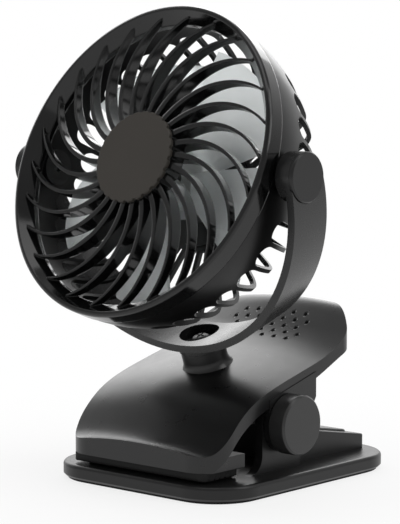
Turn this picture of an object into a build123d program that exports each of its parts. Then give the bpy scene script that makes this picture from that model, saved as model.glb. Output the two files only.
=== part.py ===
from build123d import *
import math
import os

# A small battery fan on a clip. The base lies on a table, or its spring jaw grips an edge.
# The fan head tilts in a round yoke, and the yoke swivels on a collar of the upper jaw.
# Origin: middle of the overall outline in plan, on the standing surface. The front is -Y.
# All sizes are millimetres and degrees.

# ---- base -------------------------------------------------------------------------------
base_width = 101.4
base_length = 120.2
base_center_y = 9.9
base_corner = 22.0
plate_top = 7.3
plate_edge_round = 1.6
base_wall = 2.0
foot_height = 1.2
foot_inset = 1.8
cover_height = 1.6
cover_rim = 3.0
cover_gap = 0.2

wedge_half_width = 35.6
wedge_rear_y = 63.2
wedge_rear_height = 13.4
wedge_front_y = 12.5
wedge_front_height = 22.3
wedge_corner = 2.0
wedge_edge_round = 0.8

ear_outer_x = 39.4
ear_thickness = 4.0
ear_radius = 12.4
ear_flare = 7.5

door_side_margin = 5.1
door_front_margin = 7.5
door_rear_margin = 4.7
door_corner = 4.0
door_depth = 1.4
door_rise = 1.0
door_edge_bevel = 0.5
door_gap = 0.25
door_ledge = 3.0

# ---- grip pads --------------------------------------------------------------------------
lower_pad_half_width = 34.0
lower_pad_front_y = -41.0
lower_pad_rear_y = -21.5
lower_pad_depth = 1.4
lower_pad_rise = 0.9
upper_pad_half_width = 37.4
upper_pad_inset = 1.2
pad_corner = 4.0
pad_meeting_gap = 0.1
pad_groove_pitch = 3.2
pad_groove_radius = 0.7

# ---- clip hinge -------------------------------------------------------------------------
hinge_y = 0.7
hinge_z = 27.0
pin_radius = 2.0
pin_reach = 3.8
pin_end_gap = 0.6
running_gap = 0.05
side_gap = 0.5
lug_thickness = 2.5
lug_radius = 12.0
lug_web_front_lean = 0.8
lug_web_front_z = 38.0
lug_web_rear_y = 20.0
lug_web_rear_z = 46.5
lug_web_rear_height = 10.5
hinge_cap_radius = 12.5
hinge_cap_width = 8.2
hinge_cap_bevel = 0.8
hinge_cap_back_bevel = 0.5

# ---- spring on the hinge pin ------------------------------------------------------------
wire_radius = 0.8
coil_radius = 5.2
coil_turns = 7
coil_gap = 0.55
jaw_leg_angle = 45.0
jaw_leg_length = 24.0
base_leg_angle = 8.0
base_leg_length = 16.0

# ---- upper jaw --------------------------------------------------------------------------
# Height of the side edge along the jaw, from the nose to the thumb end (Y, Z).
jaw_profile = [
    (-46.8, 16.6), (-39.5, 20.6), (-33.0, 27.6), (-24.8, 34.6), (-13.8, 40.1),
    (2.2, 45.0), (16.2, 48.7), (39.2, 58.5), (62.0, 64.6),
]
jaw_half_width = 42.0
jaw_crown = 4.0
jaw_wall = 2.2
jaw_skin_drop = 2.6
jaw_edge = 6.6
jaw_rear_y = 62.0
jaw_rear_shoulder_y = 42.0
jaw_front_corner = 14.0
jaw_rear_corner = 8.0
nose_rear_y = -22.0
nose_bottom = 11.7
nose_inner_top = 17.2
nose_half_width = 38.6

# ---- collar and swivel ------------------------------------------------------------------
swivel_lean = 19.1
collar_y = -3.95
collar_top_z = 55.5
collar_radius = 9.7
collar_height = 4.5
collar_flare = 6.0
collar_depth = 18.0
swivel_gap = 0.3
swivel_boss_radius = 10.2
swivel_boss_height = 3.2
swivel_well_radius = 8.7
swivel_well_floor = 1.8
swivel_post_radius = 4.8
swivel_post_depth = 14.0
swivel_screw_radius = 2.0
swivel_screw_head_radius = 4.0
swivel_screw_head_height = 2.4
swivel_screw_length = 12.0
swivel_washer_radius = 6.5
swivel_washer_thickness = 1.0
screw_gap = 0.15

# ---- yoke -------------------------------------------------------------------------------
yoke_clearance = 5.8
yoke_thickness = 3.3
yoke_front_half = 13.0
yoke_rear_half = 10.5
yoke_waist_z = -47.0
yoke_eye_radius = 10.0
yoke_boss_depth = 4.3
yoke_boss_bore = 7.4
yoke_boss_floor = 2.2
yoke_cap_sunk = 1.0
yoke_cap_clearance = 0.3
yoke_cap_thickness = 1.8
yoke_cap_bevel = 0.5
yoke_cap_spigot = 1.6
pivot_screw_radius = 1.8
pivot_screw_head_radius = 3.6
pivot_screw_head_height = 2.2
pivot_screw_length = 9.0

# ---- fan head, measured from the tilt axis forward along the fan's own axis --------------
head_tilt = 22.0
head_radius = 67.2
rim_front = 16.2
rim_width = 6.6
rim_inner_z = 10.6
rim_lip = 1.3
parting_z = 8.0
parting_step = 0.35
shell_wall = 2.0
shell_waist_z = -8.0
shell_waist_inset = 2.2
shell_shoulder_z = -23.0
shell_shoulder_inset = 7.4
shell_back_z = -30.0
shell_back_inset = 17.6
head_boss_radius = 7.6
head_boss_root = 3.0
head_boss_gap = 0.3
window_count = 36
window_first_angle = 2.0
window_short_angle = 11.0
window_front_z = -5.6
window_boss_gap = 5.0
window_inner_radius = 24.5
rear_bar_width = 1.9
mount_radius = 22.0
mount_thickness = 3.0
mount_back_z = -33.5

# ---- spiral front grille and its centre -------------------------------------------------
spiral_count = 26
spiral_sweep = 32.0
spiral_first_tip = 2.0
spiral_base_radius = 18.0
spiral_bite = 2.0
spiral_bow = 1.5
spiral_base_width = 2.3
spiral_tip_width = 0.9
spiral_depth = 8.5
spiral_tip_depth = 3.0
spiral_hub_z = 16.4
spiral_tip_z = 13.9
hub_radius = 19.0
hub_wall = 1.8
hub_depth = 8.0
cap_radius = 19.6
cap_thickness = 1.7
cap_front = 18.2
cap_scallop = 1.2
cap_spigot_radius = 6.0
cap_spigot_length = 4.0
cap_fit_gap = 0.15

# ---- motor and impeller -----------------------------------------------------------------
motor_radius = 11.6
motor_length = 17.5
motor_bevel = 1.2
shaft_end_gap = 0.3
shaft_radius = 1.0
shaft_sunk = 6.0
shaft_length = 13.5
motor_screw_radius = 1.3
motor_screw_head_radius = 2.4
motor_screw_head_height = 1.4
motor_screw_bite = 4.0
motor_screw_circle = 17.0
impeller_hub_radius = 14.2
impeller_hub_front = -9.6
impeller_hub_length = 10.0
impeller_hub_wall = 1.6
blade_count = 5
blade_first_angle = 51.0
blade_tip_gap = 5.6
blade_thickness = 1.3
blade_root_chord = 17.0
blade_tip_chord = 56.0
blade_root_pitch = 42.0
blade_tip_pitch = 19.0
blade_camber = 0.08
blade_corner = 14.0
blade_center_z = -11.0
nut_radius = 3.2
nut_height = 3.0
nut_bevel = 0.9

# ---- electrics in the base --------------------------------------------------------------
pack_width = 58.0
pack_length = 33.0
pack_height = 8.0
pack_gap = 0.5
board_width = 54.0
board_length = 8.0
board_thickness = 1.6
board_button_gap = 0.6
board_post_radius = 2.0
board_post_inset = 1.0
rear_panel_rise = 2.45
rear_fit_gap = 0.2
socket_width = 9.0
socket_height = 3.2
socket_depth = 7.0
socket_wall = 0.4
socket_sunk = 0.4
socket_x = -18.0
button_radius = 2.2
button_travel = 0.8
button_proud = 1.2
button_flange = 1.2
button_flange_drop = 0.6
button_bevel = 0.4
button_x = 18.0
lens_radius = 1.0
lens_x = 3.0
lens_pitch = 4.5
lens_count = 4
lens_bar_depth = 1.2
lens_bar_margin = 0.8

# ---- case screws ------------------------------------------------------------------------
case_screw_inset = 13.6
case_post_radius = 3.4
case_screw_radius = 1.3
case_screw_head_radius = 2.6
case_screw_head_height = 1.0
case_screw_length = 4.0
screw_head_bevel_share = 0.35

# How far a cut runs past the face that it opens, and how far the well's runs above the band.
past = 1.0
well_reach = 3.0

# ---- sizes that follow from those above -------------------------------------------------
yoke_inner_radius = head_radius + yoke_clearance
yoke_outer_radius = yoke_inner_radius + yoke_thickness
rim_inner_radius = head_radius - rim_width
spiral_tip_radius = rim_inner_radius + spiral_bite
blade_tip_radius = rim_inner_radius - blade_tip_gap


def box(x0, x1, y0, y1, z0, z1):
    """A box from its two corners."""
    solid = Box(x1 - x0, y1 - y0, z1 - z0)
    return Pos((x0 + x1) / 2, (y0 + y1) / 2, (z0 + z1) / 2) * solid


def x_cylinder(radius, x0, x1, y=0.0, z=0.0):
    """A cylinder along X between x0 and x1."""
    return Pos((x0 + x1) / 2, y, z) * Rot(0, 90, 0) * Cylinder(radius, abs(x1 - x0))


def y_cylinder(radius, y0, y1, x=0.0, z=0.0):
    """A cylinder along Y between y0 and y1."""
    return Pos(x, (y0 + y1) / 2, z) * Rot(90, 0, 0) * Cylinder(radius, abs(y1 - y0))


def z_cylinder(radius, z0, z1, x=0.0, y=0.0):
    """A cylinder along Z between z0 and z1."""
    return Pos(x, y, (z0 + z1) / 2) * Cylinder(radius, abs(z1 - z0))


def closed_face(*curves):
    """A face inside curves that join end to end."""
    return make_face(Wire([edge for curve in curves for edge in curve.edges()]))


def side_face(points):
    """A face in the YZ plane from straight (Y, Z) corners."""
    return closed_face(Polyline(*[(0, y, z) for y, z in points], close=True))


def along_x(face, x0, x1):
    """A YZ face stretched from x0 to x1."""
    return extrude(Pos(x0, 0, 0) * face, amount=x1 - x0, dir=(1, 0, 0))


def plan_slab(width, length, center_y, corner, z0, z1):
    """A rounded rectangle in plan, from z0 up to z1."""
    face = Pos(0, center_y, z0) * RectangleRounded(width, length, corner)
    return extrude(face, amount=z1 - z0)


def ring_solid(points):
    """A solid of revolution about Z from a closed list of (radius, z) corners."""
    outline = Polyline(*[(r, 0, z) for r, z in points], close=True)
    return revolve(closed_face(outline), axis=Axis.Z)


def pan_screw(shank_radius, length, head_radius, head_height):
    """A screw with its shank down -Z from the seat at z = 0 and a domed head."""
    head = z_cylinder(head_radius, 0, head_height)
    head = chamfer(head.edges().group_by(Axis.Z)[-1], head_height * screw_head_bevel_share)
    return z_cylinder(shank_radius, -length, 0) + head


# ---- frames of the swivel, the yoke and the head ----------------------------------------
lean = math.radians(swivel_lean)
tilt = math.radians(head_tilt)
swivel_axis = (0, -math.sin(lean), math.cos(lean))
fan_axis = (0, -math.cos(tilt), math.sin(tilt))
collar_plane = Plane(origin=(0, collar_y, collar_top_z), x_dir=(1, 0, 0), z_dir=swivel_axis)
pivot_height = swivel_gap + swivel_boss_height + yoke_outer_radius
pivot = collar_plane.from_local_coords((0, 0, pivot_height))
yoke_plane = Plane(origin=pivot, x_dir=(1, 0, 0), z_dir=swivel_axis)
head_plane = Plane(origin=pivot, x_dir=(1, 0, 0), z_dir=fan_axis)


def placed(plane, solid):
    """A solid made about the origin, moved into one of the frames above."""
    return plane.location * solid


# ---- base -------------------------------------------------------------------------------
def wedge_slope():
    """Fall of the wedge's top per millimetre towards the rear."""
    return (wedge_front_height - wedge_rear_height) / (wedge_rear_y - wedge_front_y)


def wedge_height(y):
    """Height of the wedge's sloping top at y."""
    return wedge_rear_height + wedge_slope() * (wedge_rear_y - y)


def wedge_solid(inset):
    """The wedge over the electrics, or its hollow when inset by the wall."""
    front = wedge_front_y + inset
    rear = wedge_rear_y - inset
    half = wedge_half_width - inset
    profile = side_face([
        (front, foot_height),
        (rear, foot_height),
        (rear, wedge_height(rear) - inset),
        (front, wedge_height(front) - inset),
    ])
    wedge = along_x(profile, -half, half)
    return fillet(wedge.edges().filter_by(Axis.Z), wedge_corner - inset / 2)


def ear_face():
    """Side outline of an ear: round over the pin, upright in front, flared onto the plate."""
    front = hinge_y - ear_radius
    rear = hinge_y + ear_radius
    root = plate_top - 1.0
    flare_y = front - ear_flare
    flare_z = plate_top + ear_flare
    bend = ear_flare * math.sqrt(0.5)
    return closed_face(
        ThreePointArc((0, front, hinge_z), (0, hinge_y, hinge_z + ear_radius), (0, rear, hinge_z)),
        Polyline((0, rear, hinge_z), (0, rear, root), (0, flare_y, root), (0, flare_y, plate_top)),
        ThreePointArc((0, flare_y, plate_top), (0, flare_y + bend, flare_z - bend),
                      (0, front, flare_z)),
        Line((0, front, flare_z), (0, front, hinge_z)),
    )


def rear_panel_z():
    """Height of the middle of the socket, the lights and the button in the rear wall."""
    return plate_top + rear_panel_rise


def lens_places():
    """X of each charge light, in a row."""
    first = lens_x - lens_pitch * (lens_count - 1) / 2
    return [first + lens_pitch * i for i in range(lens_count)]


def rear_holes():
    """Openings in the wedge's rear wall for the socket, the lights and the button."""
    middle = rear_panel_z()
    inner = wedge_rear_y - base_wall - past
    outer = wedge_rear_y + past
    half_width = socket_width / 2 + rear_fit_gap
    half_height = socket_height / 2 + rear_fit_gap
    holes = box(socket_x - half_width, socket_x + half_width, inner, outer,
                middle - half_height, middle + half_height)
    holes += y_cylinder(button_radius + rear_fit_gap, inner, outer, button_x, middle)
    for x in lens_places():
        holes += y_cylinder(lens_radius + running_gap, inner, outer, x, middle)
    return holes


def case_screw_places():
    """The four screws that hold the bottom cover."""
    x = base_width / 2 - case_screw_inset
    front = base_center_y - base_length / 2 + case_screw_inset
    rear = base_center_y + base_length / 2 - case_screw_inset
    return [(side * x, y) for side in (-1, 1) for y in (front, rear)]


def lower_pad_slab():
    """The lower grip pad; its recess in the plate has the same outline."""
    width = 2 * lower_pad_half_width
    length = lower_pad_rear_y - lower_pad_front_y
    middle = (lower_pad_rear_y + lower_pad_front_y) / 2
    bottom = plate_top - lower_pad_depth
    return plan_slab(width, length, middle, pad_corner, bottom, plate_top + lower_pad_rise)


def door_slab(grow, depth, rise):
    """The panel in the wedge's top, its recess, or the window under it."""
    front = wedge_front_y + door_front_margin
    rear = wedge_rear_y - door_rear_margin
    middle_y = (front + rear) / 2
    angle = math.atan(wedge_slope())
    length = (rear - front) / math.cos(angle) + 2 * grow
    width = 2 * (wedge_half_width - door_side_margin + grow)
    face = RectangleRounded(width, length, door_corner + grow)
    slab = Pos(0, 0, -depth) * extrude(face, amount=depth + rise)
    return Pos(0, middle_y, wedge_height(middle_y)) * Rot(-math.degrees(angle), 0, 0) * slab


def cover_slab(gap, z0, z1):
    """Outline of the bottom opening of the case, or of its cover when drawn in by a gap."""
    drawn_in = cover_rim + gap
    return plan_slab(base_width - 2 * drawn_in, base_length - 2 * drawn_in, base_center_y,
                     base_corner - drawn_in, z0, z1)


def base_housing():
    body = plan_slab(base_width, base_length, base_center_y, base_corner, foot_height, plate_top)
    body = fillet(body.edges().group_by(Axis.Z)[-1], plate_edge_round)
    body = chamfer(body.edges().group_by(Axis.Z)[0], plate_edge_round * 0.6)
    wedge = wedge_solid(0)
    body += fillet(wedge.faces().sort_by(Axis.Z)[-1].edges(), wedge_edge_round)
    for inner in (-ear_outer_x, ear_outer_x - ear_thickness):
        body += along_x(ear_face(), inner, inner + ear_thickness)
    posts = [z_cylinder(case_post_radius, foot_height + cover_height, plate_top, x, y)
             for x, y in case_screw_places()]
    ceiling = plate_top - base_wall - lower_pad_depth
    body -= cover_slab(0, 0, ceiling) + wedge_solid(base_wall) - posts
    body -= x_cylinder(pin_radius, -base_width, base_width, hinge_y, hinge_z)
    body -= lower_pad_slab()
    body -= door_slab(door_gap, door_depth, door_rise + past)
    body -= door_slab(-door_ledge, base_wall + past, 0)
    body -= rear_holes()
    for x, y in case_screw_places():
        body -= z_cylinder(case_screw_radius, 0, case_screw_seat() + case_screw_length, x, y)
    return body


def case_screw_seat():
    """Height of the screws' seats, sunk in the cover."""
    return foot_height + case_screw_head_height


def base_cover():
    cover = cover_slab(cover_gap, foot_height, foot_height + cover_height)
    for x, y in case_screw_places():
        cover -= z_cylinder(case_screw_radius + screw_gap, 0, plate_top, x, y)
        cover -= z_cylinder(case_screw_head_radius + screw_gap, 0, case_screw_seat(), x, y)
    return cover


def non_slip_foot():
    foot = plan_slab(base_width - 2 * foot_inset, base_length - 2 * foot_inset, base_center_y,
                     base_corner - foot_inset, 0, foot_height)
    for x, y in case_screw_places():
        foot -= z_cylinder(case_screw_head_radius + 2 * screw_gap, -past, foot_height + past, x, y)
    return foot


def case_screws():
    screw = pan_screw(case_screw_radius, case_screw_length, case_screw_head_radius,
                      case_screw_head_height)
    upward = Pos(0, 0, case_screw_seat()) * Rot(180, 0, 0) * screw
    return Compound([Pos(x, y, 0) * upward for x, y in case_screw_places()])


def battery_door():
    door = door_slab(0, door_depth, door_rise)
    return chamfer(door.faces().sort_by(Axis.Z)[-1].edges(), door_edge_bevel)


def battery_pack():
    front = wedge_front_y + base_wall + pack_gap
    floor = foot_height + cover_height
    pack = box(-pack_width / 2, pack_width / 2, front, front + pack_length, floor,
               floor + pack_height)
    return fillet(pack.edges().filter_by(Axis.Y), pack_height * 0.3)


def board_top():
    """The board lies so that the socket on it meets the middle of its opening."""
    return rear_panel_z() - socket_height / 2


def circuit_board():
    top = board_top()
    bottom = top - board_thickness
    pressed = button_flange + running_gap + button_travel
    rear = wedge_rear_y - base_wall - pressed - board_button_gap
    board = box(-board_width / 2, board_width / 2, rear - board_length, rear, bottom, top)
    for side in (-1, 1):
        x = side * (board_width / 2 - board_post_radius - board_post_inset)
        board += z_cylinder(board_post_radius, foot_height + cover_height, bottom, x,
                            rear - board_length / 2)
    return board


def usb_socket():
    facing = Plane(origin=(socket_x, wedge_rear_y - socket_sunk, rear_panel_z()),
                   x_dir=(-1, 0, 0), z_dir=(0, 1, 0))
    wall = socket_wall
    shell = RectangleRounded(socket_width, socket_height, socket_height * 0.45)
    mouth = RectangleRounded(socket_width - 2 * wall, socket_height - 2 * wall, socket_height * 0.3)
    body = extrude(shell, amount=-socket_depth)
    body -= extrude(mouth, amount=-(socket_depth - 3 * wall))
    body += extrude(Rectangle(socket_width * 0.62, 2 * wall), amount=-socket_depth)
    return placed(facing, body)


def indicator_lenses():
    back = wedge_rear_y - base_wall
    middle = rear_panel_z()
    places = lens_places()
    reach = lens_radius + lens_bar_margin
    bar = box(places[0] - reach, places[-1] + reach, back - lens_bar_depth, back,
              board_top(), middle + lens_radius)
    for x in places:
        bar += y_cylinder(lens_radius, back - lens_bar_depth, wedge_rear_y, x, middle)
    return bar


def power_button():
    middle = rear_panel_z()
    back = wedge_rear_y - base_wall
    inner = back - button_flange - running_gap
    button = y_cylinder(button_radius, inner, wedge_rear_y + button_proud, button_x, middle)
    button = chamfer(button.edges().group_by(Axis.Y)[-1], button_bevel)
    reach = button_radius + button_flange
    button += box(button_x - reach, button_x + reach, inner, inner + button_flange,
                  board_top() + running_gap, middle + button_radius - button_flange_drop)
    return button


# ---- clip hinge -------------------------------------------------------------------------
def lug_inner_x():
    return ear_outer_x + side_gap


def lug_outer_x():
    return lug_inner_x() + lug_thickness


def hinge_pin():
    end = lug_outer_x() + pin_reach
    pin = x_cylinder(pin_radius, -end, end, hinge_y, hinge_z)
    return chamfer(pin.edges().filter_by(GeomType.CIRCLE), pin_radius * 0.2)


def hinge_cap(side):
    inner = lug_outer_x()
    cap = x_cylinder(hinge_cap_radius, inner, inner + hinge_cap_width, hinge_y, hinge_z)
    rims = cap.edges().filter_by(GeomType.CIRCLE).sort_by(Axis.X)
    cap = chamfer(rims[-1], hinge_cap_bevel)
    cap = chamfer(cap.edges().filter_by(GeomType.CIRCLE).sort_by(Axis.X)[0], hinge_cap_back_bevel)
    cap -= x_cylinder(pin_radius + running_gap, inner, inner + pin_reach + pin_end_gap,
                      hinge_y, hinge_z)
    return cap if side > 0 else mirror(cap, about=Plane.YZ)


# ---- spring on the hinge pin ------------------------------------------------------------
def coil_pitch():
    return 2 * wire_radius + coil_gap


def coil_total_turns():
    """Whole turns, and the part turn that sets the angle between the two legs."""
    return coil_turns + (180 + base_leg_angle - jaw_leg_angle) / 360


def coil_point(turn):
    """Middle of the wire after so many turns; the coil winds along +X from the jaw's leg."""
    angle = math.radians(90 + jaw_leg_angle) + 2 * math.pi * turn
    return Vector((turn - coil_total_turns() / 2) * coil_pitch(),
                  hinge_y + coil_radius * math.cos(angle),
                  hinge_z + coil_radius * math.sin(angle))


def coil_direction(turn):
    """Direction of the wire at that turn."""
    angle = math.radians(90 + jaw_leg_angle) + 2 * math.pi * turn
    around = 2 * math.pi * coil_radius
    return Vector(coil_pitch(), -around * math.sin(angle), around * math.cos(angle)).normalized()


def biarc(start, start_dir, end, end_dir):
    """Two arcs that leave start and reach end in the given directions and meet smoothly."""
    chord = end - start
    both = start_dir + end_dir
    bend = 2 * (1 - start_dir.dot(end_dir))
    along = chord.dot(both)
    reach = (math.sqrt(along * along + bend * chord.dot(chord)) - along) / bend
    first = start + start_dir * reach
    second = end - end_dir * reach
    middle = (first + second) * 0.5
    return [TangentArc(start, middle, tangent=start_dir),
            TangentArc(middle, end, tangent=second - first)]


def torsion_spring():
    """One wire: a leg up to the jaw, the coil round the pin, and a leg onto the wedge."""
    total = coil_total_turns()
    steps = round(total * 2)
    marks = [total * i / steps for i in range(steps + 1)]
    start = coil_point(0)
    leg_tip = start - coil_direction(0) * jaw_leg_length
    path = [Line(leg_tip, start)]
    for here, there in zip(marks, marks[1:]):
        path += biarc(coil_point(here), coil_direction(here), coil_point(there),
                      coil_direction(there))
    end = coil_point(total)
    path.append(Line(end, end + coil_direction(total) * base_leg_length))
    section = Plane(origin=leg_tip, z_dir=coil_direction(0)) * Circle(wire_radius)
    return sweep(section, path=Wire([edge for curve in path for edge in curve.edges()]))


def coil_least_gap():
    """Least clear gap between turns, measured on points along the middle of the wire."""
    count = 48
    points = [coil_point(i / count) for i in range(int(coil_total_turns() * count) + 1)]
    least = min((points[j] - points[i]).length
                for i in range(0, len(points), 4)
                for j in range(i + count // 2, len(points)))
    return least - 2 * wire_radius


# ---- upper jaw --------------------------------------------------------------------------
def jaw_section(y, z):
    """Crowned cross-section of the jaw at one station, down to the table."""
    half = jaw_half_width + past
    return closed_face(
        ThreePointArc((-half, y, z), (0, y, z + jaw_crown), (half, y, z)),
        Polyline((half, y, z), (half, y, 0), (-half, y, 0), (-half, y, z)),
    )


def jaw_loft(drop):
    """Everything below the jaw's crowned top, lowered by so much."""
    return loft([jaw_section(y, z - drop) for y, z in jaw_profile])


def jaw_plan(inset):
    """Plan of the jaw: straight sides, a square nose and a thumb end bowed to the rear."""
    half = jaw_half_width - inset
    front = jaw_profile[0][0] + inset + 0.01
    shoulder = jaw_rear_shoulder_y
    face = closed_face(
        Polyline((-half, shoulder, 0), (-half, front, 0), (half, front, 0), (half, shoulder, 0)),
        ThreePointArc((half, shoulder, 0), (0, jaw_rear_y - inset - 0.01, 0), (-half, shoulder, 0)),
    )
    slab = extrude(face, amount=200, dir=(0, 0, 1))
    upright = slab.edges().filter_by(Axis.Z).sort_by(Axis.Y)
    slab = fillet(upright[:2], jaw_front_corner - inset)
    upright = slab.edges().filter_by(Axis.Z).sort_by(Axis.Y)
    return fillet(upright[-2:], jaw_rear_corner - inset)


def below_jaw_edge():
    """Everything below the lower edge of the jaw's sides."""
    edge = [(0, y, z - jaw_edge) for y, z in jaw_profile]
    first, last = edge[0], edge[-1]
    face = closed_face(
        Spline(edge),
        Polyline(last, (0, last[1] + past, last[2]), (0, last[1] + past, -past),
                 (0, first[1] - past, -past), (0, first[1] - past, first[2]), first),
    )
    return along_x(face, -jaw_half_width - past, jaw_half_width + past)


def collar_solid():
    """The collar that the yoke turns on, flared where it meets the jaw."""
    flare_top = -collar_height
    wide = collar_radius + collar_flare
    face = closed_face(
        Polyline((0, 0, -collar_depth), (0, 0, 0), (collar_radius, 0, 0),
                 (collar_radius, 0, flare_top)),
        TangentArc((collar_radius, 0, flare_top), (wide, 0, flare_top - collar_flare),
                   tangent=(0, 0, -1)),
        Polyline((wide, 0, flare_top - collar_flare), (wide, 0, -collar_depth),
                 (0, 0, -collar_depth)),
    )
    return placed(collar_plane, revolve(face, axis=Axis.Z))


def lug_face():
    """Side outline of a hinge lug: round over the pin, with a broad web up to the jaw."""
    front = hinge_y - lug_radius
    return side_face([
        (front, hinge_z),
        (front + lug_web_front_lean, lug_web_front_z),
        (lug_web_rear_y, lug_web_rear_z),
        (lug_web_rear_y, lug_web_rear_z - lug_web_rear_height),
        (hinge_y + lug_radius * 0.8, hinge_z - lug_radius * 0.6),
    ])


def upper_jaw():
    plan = jaw_plan(0)
    outer = jaw_loft(0) & plan
    body = outer + collar_solid()
    body -= jaw_loft(jaw_skin_drop) & jaw_plan(jaw_wall)
    body -= below_jaw_edge()
    front = jaw_profile[0][0]
    body += outer & box(-nose_half_width, nose_half_width, front, nose_rear_y, nose_bottom,
                        nose_inner_top)
    body -= box(-jaw_half_width - past, jaw_half_width + past, front - past, jaw_rear_y, -past, nose_bottom)
    body += outer & placed(collar_plane, z_cylinder(swivel_post_radius, -swivel_post_depth, -5))
    for inner in (-lug_outer_x(), lug_inner_x()):
        body += along_x(lug_face(), inner, inner + lug_thickness)
        body += x_cylinder(lug_radius, inner, inner + lug_thickness, hinge_y, hinge_z)
    body -= x_cylinder(pin_radius + running_gap, -base_width, base_width, hinge_y, hinge_z)
    body -= placed(collar_plane, z_cylinder(swivel_screw_radius, -swivel_post_depth - past, past))
    return body


def lower_grip_pad():
    return pad_ribs(lower_pad_slab(), lower_pad_front_y, lower_pad_rear_y,
                    plate_top + lower_pad_rise, 1)


def upper_pad_ends():
    """Front and rear of the pad under the nose."""
    return jaw_profile[0][0] + upper_pad_inset, nose_rear_y - upper_pad_inset


def upper_grip_pad():
    front, rear = upper_pad_ends()
    bottom = plate_top + lower_pad_rise + pad_meeting_gap
    slab = plan_slab(2 * upper_pad_half_width, rear - front, (front + rear) / 2, pad_corner,
                     bottom, nose_bottom)
    return pad_ribs(slab, front, rear, bottom, -1)


def pad_ribs(slab, front, rear, face_z, side):
    """Cross grooves in the gripping face of a pad."""
    count = int((rear - front) / pad_groove_pitch)
    start = (front + rear) / 2 - (count - 1) / 2 * pad_groove_pitch
    for i in range(count):
        y = start + i * pad_groove_pitch
        groove = x_cylinder(pad_groove_radius, -base_width, base_width, y,
                            face_z + side * pad_groove_radius * 0.4)
        slab -= groove
    return slab


# ---- yoke and swivel --------------------------------------------------------------------
def yoke_band():
    """The round band in the swivel's frame: half a ring, with short straight arm ends."""
    outer = yoke_outer_radius
    inner = yoke_inner_radius
    top = yoke_eye_radius
    face = closed_face(
        Polyline((-outer, 0, 0), (-outer, 0, top), (-inner, 0, top), (-inner, 0, 0)),
        ThreePointArc((-inner, 0, 0), (0, 0, -inner), (inner, 0, 0)),
        Polyline((inner, 0, 0), (inner, 0, top), (outer, 0, top), (outer, 0, 0)),
        ThreePointArc((outer, 0, 0), (0, 0, -outer), (-outer, 0, 0)),
    )
    return extrude(face, amount=2 * yoke_front_half, dir=(0, 1, 0), both=True)


def yoke_side():
    """Side outline of the yoke: round eyes at the tilt axis, broader towards the collar."""
    eye = yoke_eye_radius
    low = -yoke_outer_radius - past
    face = closed_face(
        ThreePointArc((0, eye, 0), (0, 0, eye), (0, -eye, 0)),
        Polyline((0, -eye, 0), (0, -yoke_front_half, yoke_waist_z), (0, -yoke_front_half, low),
                 (0, yoke_rear_half, low), (0, yoke_rear_half, yoke_waist_z), (0, eye, 0)),
    )
    return along_x(face, -yoke_outer_radius - past, yoke_outer_radius + past)


def yoke():
    body = yoke_band() & yoke_side()
    seat = yoke_outer_radius - yoke_cap_sunk
    boss_inner = yoke_inner_radius - yoke_boss_depth
    for side in (-1, 1):
        body += x_cylinder(yoke_eye_radius, side * boss_inner, side * seat)
        body -= x_cylinder(yoke_eye_radius + yoke_cap_clearance, side * seat,
                           side * (seat + yoke_outer_radius))
        body -= x_cylinder(yoke_boss_bore, side * (boss_inner + yoke_boss_floor),
                           side * (seat + past))
        body -= x_cylinder(pivot_screw_radius + running_gap, side * (boss_inner - past),
                           side * (seat + past))
    boss_top = -yoke_inner_radius
    boss_bottom = -yoke_outer_radius - swivel_boss_height
    body += z_cylinder(swivel_boss_radius, boss_bottom, boss_top - yoke_thickness / 2)
    body -= z_cylinder(swivel_well_radius, boss_bottom + swivel_well_floor, boss_top + well_reach)
    body -= z_cylinder(swivel_screw_radius + running_gap, boss_bottom - past, boss_top + well_reach)
    return placed(yoke_plane, body)


def yoke_cap(side):
    seat = yoke_outer_radius - yoke_cap_sunk
    cap = x_cylinder(yoke_eye_radius, seat, seat + yoke_cap_thickness)
    rim = cap.edges().filter_by(GeomType.CIRCLE).sort_by(Axis.X)[-1]
    cap = chamfer(rim, yoke_cap_bevel)
    cap += x_cylinder(yoke_boss_bore - screw_gap, seat - yoke_cap_spigot, seat)
    cap = cap if side > 0 else mirror(cap, about=Plane.YZ)
    return placed(yoke_plane, cap)


def swivel_screw():
    """Screwed into the collar through the floor of the yoke's well."""
    screw = pan_screw(swivel_screw_radius, swivel_screw_length, swivel_screw_head_radius,
                      swivel_screw_head_height)
    seat = swivel_gap + swivel_well_floor + swivel_washer_thickness + 2 * running_gap
    return placed(collar_plane, Pos(0, 0, seat) * screw)


def swivel_washer():
    low = swivel_gap + swivel_well_floor + running_gap
    washer = z_cylinder(swivel_washer_radius, low, low + swivel_washer_thickness)
    washer -= z_cylinder(swivel_screw_radius + running_gap, 0, low + swivel_washer_thickness + past)
    return placed(collar_plane, washer)


def head_boss_x():
    """Outer face of the head's side bosses, inside the yoke's."""
    return yoke_inner_radius - yoke_boss_depth - head_boss_gap


def pivot_screw(side):
    """Screwed into the head's side boss; the yoke's eye turns on its shank."""
    screw = pan_screw(pivot_screw_radius, pivot_screw_length, pivot_screw_head_radius,
                      pivot_screw_head_height)
    seat = yoke_inner_radius - yoke_boss_depth + yoke_boss_floor + head_boss_gap
    return placed(head_plane, Pos(side * seat, 0, 0) * Rot(0, side * 90, 0) * screw)


# ---- fan head ---------------------------------------------------------------------------
def shell_form(inset):
    """The shell's turned shape, filled, from its front edge back to the motor mount."""
    rim = (head_radius - parting_step - inset, 0, parting_z)
    waist = (head_radius - shell_waist_inset - inset, 0, shell_waist_z)
    shoulder = (head_radius - shell_shoulder_inset - inset, 0, shell_shoulder_z)
    back = (head_radius - shell_back_inset, 0, shell_back_z + inset)
    middle_z = mount_back_z + inset
    side = ThreePointArc(rim, waist, shoulder)
    face = closed_face(
        side,
        TangentArc(shoulder, back, tangent=side % 1),
        Polyline(back, (mount_radius, 0, middle_z), (0, 0, middle_z), (0, 0, parting_z), rim),
    )
    return revolve(face, axis=Axis.Z)


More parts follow.
